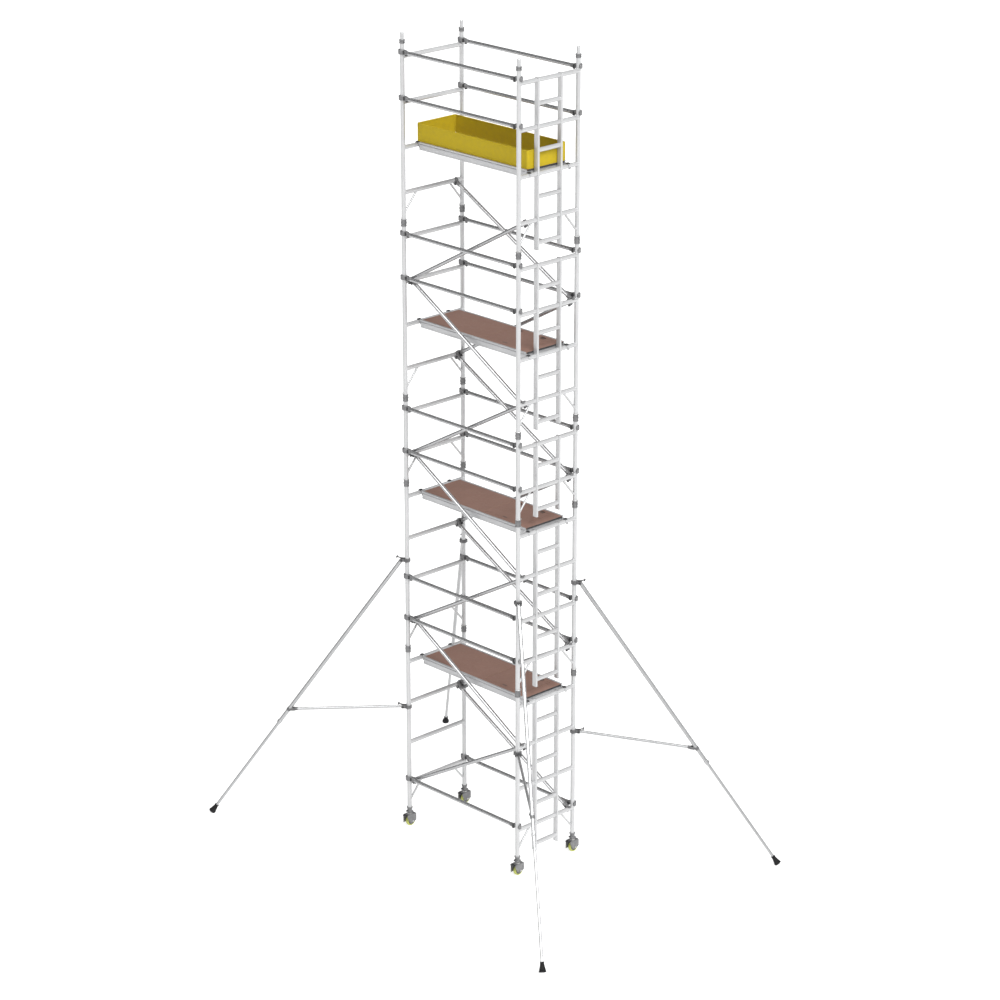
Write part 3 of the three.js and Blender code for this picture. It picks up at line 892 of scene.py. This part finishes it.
def add_deck_hook(cast, caps, root):
    """The hook over a rung along Y at the origin, on an arm from x = root. Black caps shoe it."""
    half = BEAM_WIDTH / 2
    cast.band(arc(0.0303, 190, -12, 16), 0.009, BEAM_WIDTH, 0.003, (1, 0.7), within=ON_EDGE)
    cast.block((root, -half, -0.006), (-0.0295, half, 0.032), 0.004, 0.002)
    shoe = arc(0.032, 128, 44, 8)
    caps.band(shoe, 0.0125, BEAM_WIDTH + 0.003, 0.004, (0.8, 0.6), within=ON_EDGE)
    caps.block((-0.049, -half - 0.001, -0.028), (-0.0305, half + 0.001, -0.005), 0.004, 0.003)


def add_windlock(shape, root):
    """A swinging finger under the rung, which keeps the wind from lifting the deck."""
    shape.block((root, -0.0065, -0.014), (-0.0262, 0.0065, 0.009), 0.002, 0.0015)
    shape.band(arc(0.03, 190, 312, 10), 0.008, 0.014, 0.003, (1, 0.5), within=ON_EDGE)


def add_trapdoor(index, place):
    body = f"trapdoor_{index}"
    x0, x1 = HATCH_X[0] + LID_GAP, HATCH_X[1] - LID_GAP
    y = HATCH_HALF_WIDTH - LID_GAP
    lid = Shape(place)
    lid.block((x0, -y, DECK_TOP - 0.01), (x1, y, DECK_TOP - 0.0005), 0.004, 0.0007)
    piece(f"{body}_lid", lid, body, PLYWOOD, [body])
    fittings = Shape(place)
    axis_z = DECK_TOP + HINGE_LIFT
    for start in (x0 - LID_GAP + 0.09, x1 + LID_GAP - 0.15):
        end = start + HINGE_LENGTH
        fittings.bar((start, HINGE_Y, axis_z), (end, HINGE_Y, axis_z), 0.005, 16, 0.0006)
        low, high = (start, HINGE_Y - 0.034, DECK_TOP - 0.001), (end, HINGE_Y, DECK_TOP + 0.002)
        fittings.block(low, high, 0.002, 0.0006)
        for dx in (0.012, 0.048):
            fittings.turned([(0, 0.0045), (0.0012, 0.004), (0.0018, 0.0022)],
                            (start + dx, HINGE_Y - 0.022, DECK_TOP + 0.0018), Z_AXIS, 12)
    middle = (x0 + x1) / 2
    low = (middle - 0.035, -y + 0.012, DECK_TOP - 0.001)
    high = (middle + 0.035, -y + 0.03, DECK_TOP + 0.0012)
    fittings.block(low, high, 0.006, 0.0005)
    piece(f"{body}_hinges_and_latch", fittings, body, BROWN)


# ---- Toe boards ----
def add_toe_boards():
    """Four boards with a rolled top edge, and a rounded knuckle at each corner."""
    deck_top = rung_height(DECK_RUNGS[-1]) + DECK_TOP + 0.0008
    top, thick = TOE_HEIGHT, TOE_THICK
    section = [
        (0, 0), (thick, 0), (thick, 0.004), (0.0105, 0.006), (0.0105, top - 0.016),
        (thick, top - 0.014), (thick, top - 0.004), (0.0095, top - 0.001), (0.006, top),
        (0.0025, top - 0.001), (0, top - 0.004), (0, top - 0.014), (0.0015, top - 0.016),
        (0.0015, 0.006), (0, 0.004),
    ]
    long_half = TOE_HALF_LENGTH - TOE_CORNER
    short_half = TOE_HALF_WIDTH - TOE_CORNER
    ring = at(0, TOE_CENTRE_Y, deck_top)
    for name, turn, half, reach in (
        ("near", -90, long_half, TOE_HALF_WIDTH),
        ("far", 90, long_half, TOE_HALF_WIDTH),
        ("span", 180, short_half, TOE_HALF_LENGTH),
        ("ladder", 0, short_half, TOE_HALF_LENGTH),
    ):
        outwards = Matrix.Rotation(math.radians(turn), 4, "Z")
        board = Shape(ring @ outwards @ Matrix.Translation((reach - thick, 0, 0)) @ ON_EDGE)
        board.plate(section, -half + 0.0006, half - 0.0006, 0.0005)
        nodes = ["toe_board_set"] if name == "near" else []
        piece(f"toe_board_{name}", board, "tower", YELLOW, nodes)
    corners = Shape()
    for turn, (x, y) in ((0, (1, 1)), (90, (-1, 1)), (180, (-1, -1)), (270, (1, -1))):
        centre = (x * long_half, y * short_half, TOE_HEIGHT / 2)
        corners.at = ring @ Matrix.Translation(centre)
        path = arc(TOE_CORNER - 0.006, turn, turn + 90, 8)
        corners.band(path, 0.0118, TOE_HEIGHT - 0.001, 0.002)
    piece("toe_board_corners", corners, "tower", YELLOW)


def add_decks():
    for index, rung in enumerate(DECK_RUNGS, 1):
        add_deck(index, rung)
    add_toe_boards()


# ---- Castors, each with its post's centre line at x = y = 0 and the floor at z = 0 ----
def add_leg(corner, place):
    stem = Shape(place)
    bottom, top = CASTOR_TOP + 0.0006, FRAME_BASE + STEM_ABOVE_BASE
    profile = [(0, 0.030), (0.0015, 0.032), (0.0075, 0.032), (0.009, 0.030), (0.0095, 0.0185)]
    turn = 0.012
    while turn < top - bottom - THREAD_PITCH:
        profile += [
            (turn, THREAD_ROOT), (turn + 0.0015, THREAD_CREST), (turn + 0.003, THREAD_CREST),
            (turn + 0.0045, THREAD_ROOT),
        ]
        turn += THREAD_PITCH
    profile += [(top - bottom - 0.002, THREAD_ROOT), (top - bottom, 0.0155)]
    stem.turned(profile, (0, 0, bottom))
    stem.turned([(0, 0.0078), (0.012, 0.0078)], (0, 0, 0.1385), Z_AXIS, 16)
    piece(f"leg_stem_{corner}", stem, f"leg_{corner}", STEEL,
          [f"adjustable_leg_{corner}"])
    nut = Shape(place)
    nut.turned([
        (0.0, 0.0197), (0.0, 0.0285), (0.0015, 0.030), (0.012, 0.030), (0.014, 0.0275),
        (0.042, 0.0275), (0.050, 0.0305), (0.058, 0.0335), (0.0665, 0.0345), (0.068, 0.0335),
        (0.068, 0.0262), (0.0462, 0.0262), (0.0462, 0.0197),
    ], (0, 0, 0.168), Z_AXIS, 28, hollow=True)
    for quarter in (45, 135, 225, 315):
        nut.at = place @ Matrix.Rotation(math.radians(quarter), 4, "Z")
        nut.block((0.026, -0.005, 0.17), (0.0425, 0.005, 0.19), 0.003, 0.002)
    piece(f"adjuster_nut_{corner}", nut, "tower", CAST)
    knob = Shape(place)
    knob.turned([
        (0, 0.0045), (0.006, 0.0045), (0.007, 0.0078), (0.010, 0.0085), (0.016, 0.0082),
        (0.0185, 0.0065), (0.0195, 0.003),
    ], (0, -0.0265, 0.198), -Y_AXIS, 18)
    piece(f"nut_lock_knob_{corner}", knob, "tower", BLACK)


def add_fork(corner, place):
    """Two cheeks, a top plate and a back wall. The +X cheek's front is cut off at a slant."""
    fork = Shape(place @ along_x(1))
    half, length = 0.04, 0.067
    rear = [
        (0.022, 0.045), (0.03, 0.047), (length - 0.008, 0.060), (length - 0.002, 0.064),
        (length, 0.072), (length, 0.138), (length - 0.004, 0.1455), (length - 0.012, 0.149),
        (-length + 0.012, 0.149), (-length + 0.003, 0.146), (-length, 0.139),
    ]
    square_front = [(-length, 0.05), (-length + 0.005, 0.045)]
    cut_front = [(-length, 0.118), (-0.03, 0.058), (-0.018, 0.047)]
    for x, front in ((-half, square_front), (half - 0.006, cut_front)):
        fork.plate(front + rear, x, x + 0.006, 0.0015)
    fork.at = place
    left, right = -half + 0.002, half - 0.002
    fork.block((left, PEDAL_Y + 0.008, 0.144), (right, length - 0.002, 0.1498), 0.006, 0.002)
    fork.block((left, length - 0.006, 0.108), (right, length - 0.0005, 0.148), 0.002, 0.001)
    fork.turned([(0, 0.024), (0.002, 0.0255), (0.0045, 0.0255), (0.005, 0.024)],
                (0, 0, 0.1392), Z_AXIS)
    piece(f"castor_fork_{corner}", fork, f"castor_{corner}", CAST,
          [f"castor_body_{corner}"])
    axle = Shape(place)
    centre = Vector((0, WHEEL_Y, WHEEL_RADIUS))
    for side in (-1, 1):
        face = centre + X_AXIS * side * 0.04
        axle.turned([(0, 0.0105), (0.001, 0.011), (0.006, 0.011), (0.007, 0.010)],
                    face, X_AXIS * side, 6)
        axle.turned([(0, 0.0065), (0.0105, 0.0065), (0.0115, 0.0055)], face, X_AXIS * side, 14)
    axle.bar(centre - X_AXIS * 0.0395, centre + X_AXIS * 0.0395, 0.006, 16)
    piece(f"castor_axle_{corner}", axle, f"castor_{corner}", STEEL)


def add_wheel(corner, place):
    start = (-0.021, WHEEL_Y, WHEEL_RADIUS)
    radius = WHEEL_RADIUS
    tyre = Shape(place)
    tyre.turned([
        (0.002, 0.046), (0.0005, 0.050), (0.0015, 0.055), (0.005, radius - 0.003),
        (0.010, radius - 0.0006), (0.016, radius), (0.026, radius), (0.032, radius - 0.0006),
        (0.037, radius - 0.003), (0.0405, 0.055), (0.0415, 0.050), (0.040, 0.046),
    ], start, X_AXIS, 48, hollow=True)
    piece(f"castor_tyre_{corner}", tyre, f"wheel_{corner}", TYRE,
          [f"castor_wheel_{corner}"])
    hub = Shape(place)
    hub.turned([
        (0.004, 0.0078), (-0.002, 0.0085), (-0.002, 0.015), (0.004, 0.0165), (0.0095, 0.0185),
        (0.011, 0.024), (0.011, 0.036), (0.006, 0.041), (0.003, 0.0465), (0.039, 0.0465),
        (0.036, 0.041), (0.031, 0.036), (0.031, 0.024), (0.0325, 0.0185), (0.038, 0.0165),
        (0.044, 0.015), (0.044, 0.0085), (0.038, 0.0078),
    ], start, X_AXIS, 40, hollow=True)
    piece(f"castor_hub_{corner}", hub, f"wheel_{corner}", CAST)


def add_pedal(corner, place):
    """The tread between the fork's cheeks, its hinge pin and four ribs."""
    pedal = Shape(place)
    low = (-0.0335, PEDAL_Y - 0.028, PEDAL_Z - 0.004)
    high = (0.0335, PEDAL_Y + 0.002, PEDAL_Z + 0.004)
    pedal.block(low, high, 0.004, 0.0025)
    pedal.bar((-0.039, PEDAL_Y, PEDAL_Z), (0.039, PEDAL_Y, PEDAL_Z), 0.0035, 14, 0.0006)
    for row in range(4):
        y = PEDAL_Y - 0.025 + row * 0.006
        low, high = (-0.028, y, PEDAL_Z + 0.0035), (0.028, y + 0.003, PEDAL_Z + 0.0052)
        pedal.block(low, high, 0.0012, 0.0006)
    piece(f"brake_pedal_{corner}_tread", pedal, f"pedal_{corner}", BLACK,
          [f"brake_pedal_{corner}"])


def add_castors():
    for corner, (x, y) in CORNERS.items():
        place = at(x * HALF_LENGTH, y * HALF_WIDTH, 0)
        add_leg(corner, place)
        add_fork(corner, place)
        add_wheel(corner, place)
        add_pedal(corner, place)


# ---- Stabilisers, each in the XZ plane with its post's centre line at x = 0 ----
LEG_LENGTH = (LEG_SOLE - LEG_TOP).length
LEG_DIRECTION = (LEG_SOLE - LEG_TOP).normalized()


def on_leg(share, extra=0.0):
    return LEG_TOP + LEG_DIRECTION * (share * LEG_LENGTH + extra)


def add_clamp(cast, black, z):
    """A half coupler round the post, its pivot lug, and a T handle that tightens it."""
    place = cast.at
    cast.at = black.at = place @ Matrix.Translation((0, 0, z))
    cast.band(arc(0.0325, 75, -75, 12), 0.0105, 0.041, 0.003, crown=0.0015)
    cast.band(arc(0.0325, 285, 105, 14)[::-1], 0.009, 0.037, 0.003)
    for side in (-1, 1):
        cast.turned([(0, 0.0065), (0.002, 0.0085), (0.040, 0.0085), (0.042, 0.0065)],
                    (0.002, side * 0.0385, -0.021), Z_AXIS, 16)
        y = side * 0.0245
        cast.block((0.03, y - 0.0035, -0.018), (0.082, y + 0.0035, 0.018), 0.003, 0.002)
        black.turned([(0, 0.0125), (0.006, 0.0125), (0.0085, 0.0105), (0.0095, 0.006)],
                     (LEG_TOP.x, side * 0.0282, -0.004), (0, side, 0), 16)
    cast.block((0.034, -0.022, -0.018), (0.044, 0.022, 0.018), 0.003, 0.002)
    cast.bar((LEG_TOP.x, -0.033, 0), (LEG_TOP.x, 0.033, 0), 0.006, 14)
    black.bar((0.037, 0, 0.012), (0.112, 0, 0.033), 0.0062, 14)
    black.bar((0.116, -0.024, 0.0342), (0.116, 0.024, 0.0342), 0.0085, 16, 0.003)
    cast.at = black.at = place


def add_stabiliser(corner, place):
    body = f"stabiliser_{corner}"
    clamps, black = Shape(place), Shape(place)
    for z in (LEG_TOP.z, LOWER_CLAMP):
        add_clamp(clamps, black, z)
    piece(f"stabiliser_clamps_{corner}", clamps, body, DARK_CAST)
    tubes = Shape(place)
    tubes.pipe(on_leg(0, 0.004), on_leg(UPPER_TUBE_END), 0.022, 0.018)
    strut_foot = Vector((LEG_TOP.x, 0, LOWER_CLAMP))
    strut_end = on_leg(STRUT_AT)
    along = (strut_end - strut_foot).normalized()
    tubes.bar(strut_foot + along * 0.006, strut_end - along * 0.07, 0.016)
    tubes.turned([
        (0.0, 0.0221), (0.0, 0.0238), (0.0015, 0.0248), (0.043, 0.0248), (0.047, 0.022),
        (0.047, 0.0170), (0.0445, 0.0170), (0.0445, 0.0221),
    ], on_leg(UPPER_TUBE_END, -0.045), LEG_DIRECTION, 24, hollow=True)
    piece(f"stabiliser_tubes_{corner}", tubes, body, LEG_METAL,
          [f"stabiliser_arm_{corner}"])
    bracket = Shape(place)
    bracket.turned([
        (0.0, 0.0221), (0.0, 0.0245), (0.002, 0.0258), (0.034, 0.0258), (0.036, 0.0245),
        (0.036, 0.0221),
    ], on_leg(STRUT_AT, -0.018), LEG_DIRECTION, 24, hollow=True)
    hinge = strut_end - along * 0.058
    flat = Matrix((along, Y_AXIS, along.cross(Y_AXIS))).transposed().to_4x4()
    bracket.at = place @ Matrix.Translation(hinge) @ flat
    for side in (-1, 1):
        y = side * 0.0215
        bracket.block((-0.016, y - 0.003, -0.016), (0.036, y + 0.003, 0.016), 0.003, 0.002)
        bracket.turned([(0, 0.0095), (0.005, 0.0095), (0.006, 0.008)],
                       (0, side * 0.0245, 0), (0, side, 0), 6)
    bracket.bar((0, -0.0245, 0), (0, 0.0245, 0), 0.006, 14)
    bracket.turned([(0, 0.0165), (0.0015, 0.0195), (0.036, 0.0195), (0.038, 0.0175)],
                   (-0.044, 0, 0), X_AXIS, 20)
    bracket.at = place
    piece(f"stabiliser_strut_bracket_{corner}", bracket, body, DARK_CAST)
    up = Vector((-LEG_DIRECTION.z, 0, LEG_DIRECTION.x))
    black.turned([(0, 0.008), (0.004, 0.008), (0.006, 0.0068), (0.0068, 0.004)],
                 on_leg(UPPER_TUBE_END, -0.022) + up * 0.0235, up, 16)
    piece(f"stabiliser_handles_{corner}", black, body, BLACK)
    slider = Shape(place)
    slider.bar(on_leg(SLIDER_START), on_leg(1, -0.03), 0.0165)
    foot_body = f"stabiliser_foot_{corner}"
    piece(f"stabiliser_slider_{corner}", slider, foot_body, LEG_METAL,
          [f"stabiliser_leg_{corner}"])
    boot = Shape(place)
    add_boot(boot)
    piece(f"stabiliser_boot_{corner}", boot, foot_body, RUBBER)


def add_boot(shape):
    """A flared rubber boot, square to the leg, with ribs. Nothing of it goes below the floor."""
    turn = LEG_DIRECTION.to_track_quat("Z", "Y").to_matrix()
    levels = [
        (-0.108, 0.0175), (-0.108, 0.0225), (-0.104, 0.0242), (-0.097, 0.0242), (-0.094, 0.0215),
        (-0.070, 0.0245), (-0.040, 0.0305), (-0.020, 0.0355), (-0.012, 0.0375),
        (-0.010, 0.0405), (-0.003, 0.0405), (0.0, 0.0385), (0.0015, 0.028), (0.002, 0.014),
    ]
    rings = []
    for along, radius in levels:
        origin = on_leg(1, along)
        ribbed = -0.09 < along < -0.011
        ring = []
        for a, b in circle(1, 48):
            angle = math.atan2(b, a)
            rib = 0.0014 * max(0, math.cos(8 * angle)) if ribbed else 0
            point = origin + turn @ Vector((a, b, 0)) * (radius + rib)
            point.z = max(point.z, 0.0)
            ring.append(point)
        rings.append(ring)
    shape.skin(rings)


def add_stabilisers():
    for corner, (x, y) in CORNERS.items():
        turn = math.atan2(y * math.sin(STABILISER_BEARING), x * math.cos(STABILISER_BEARING))
        add_stabiliser(corner, at(x * HALF_LENGTH, y * HALF_WIDTH, 0, turn))


add_camera()
add_studio()
add_frames()
add_braces()
add_decks()
add_castors()
add_stabilisers()
